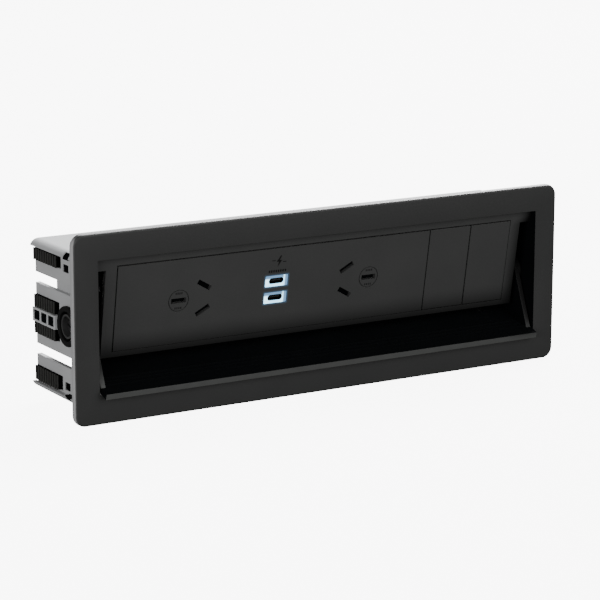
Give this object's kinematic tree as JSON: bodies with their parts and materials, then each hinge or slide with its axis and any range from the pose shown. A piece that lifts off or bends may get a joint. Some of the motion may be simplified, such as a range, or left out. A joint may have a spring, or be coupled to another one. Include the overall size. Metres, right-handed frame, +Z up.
{
  "type": "in-desk power module",
  "caption": "In-desk power module: framed recess with a swing-down lid, mains sockets, USB-C charging ports and blank modules.",
  "frame": {"origin": "centre of the bezel's opening, on the rear face of the flange that seats on the desk", "axes": "+X along the bezel, +Y into the desk away from the user, +Z up the fascia, as in the picture's upright attitude"},
  "size_m": [0.2918, 0.0652, 0.0969],
  "materials": {
    "black_plastic": "fine satin black",
    "module_plastic": "fine satin black",
    "hub_plastic": "moulded black",
    "inner_plastic": "moulded black",
    "grip_rubber": "matt black",
    "grey_shell": "light grey, fine texture",
    "grey_plastic": "light grey, moulded",
    "steel": "bright plated",
    "brass": "plain",
    "board": "green circuit board",
    "light_guide": "clear light guide, lit cool white"
  },
  "bodies": {
    "housing": {"bezel": "black_plastic", "shell_top": "grey_shell", "shell_bottom": "grey_shell", "end_frame_left": "grey_plastic", "end_frame_right": "grey_plastic", "grip_upper_left": "grip_rubber", "grip_middle_left": "grip_rubber", "grip_lower_left": "grip_rubber", "grip_upper_right": "grip_rubber", "grip_middle_right": "grip_rubber", "grip_lower_right": "grip_rubber", "ladder_clip_left": "grey_plastic", "ladder_clip_right": "grey_plastic", "fascia_frame": "black_plastic", "socket_plate": "module_plastic", "blank_module_inner": "module_plastic", "blank_module_outer": "module_plastic", "socket_body_left": "inner_plastic", "socket_body_right": "inner_plastic", "contact_active_left": "brass", "contact_neutral_left": "brass", "contact_earth_left": "brass", "contact_active_right": "brass", "contact_neutral_right": "brass", "contact_earth_right": "brass", "busbar_active": "brass", "busbar_neutral": "brass", "busbar_earth": "brass", "usb_charger": "inner_plastic", "usb_board": "board", "usb_shell_upper": "steel", "usb_shell_lower": "steel", "usb_tongue_upper": "inner_plastic", "usb_tongue_lower": "inner_plastic", "usb_light_upper": "light_guide", "usb_light_lower": "light_guide", "module_casing": "inner_plastic", "power_inlet": "inner_plastic", "inlet_pins": "brass", "casing_screws": "steel"},
    "lid": {"lid": "black_plastic", "lid_hub_left": "hub_plastic", "lid_hub_right": "hub_plastic", "hub_screws": "steel"}
  },
  "joints": [
    {"name": "lid_hinge", "type": "hinge", "parent": "housing", "child": "lid", "pos_m": [0, 0.0185, -0.0024], "axis": [1, 0, 0], "range_deg": [-110, 0]}
  ]
}
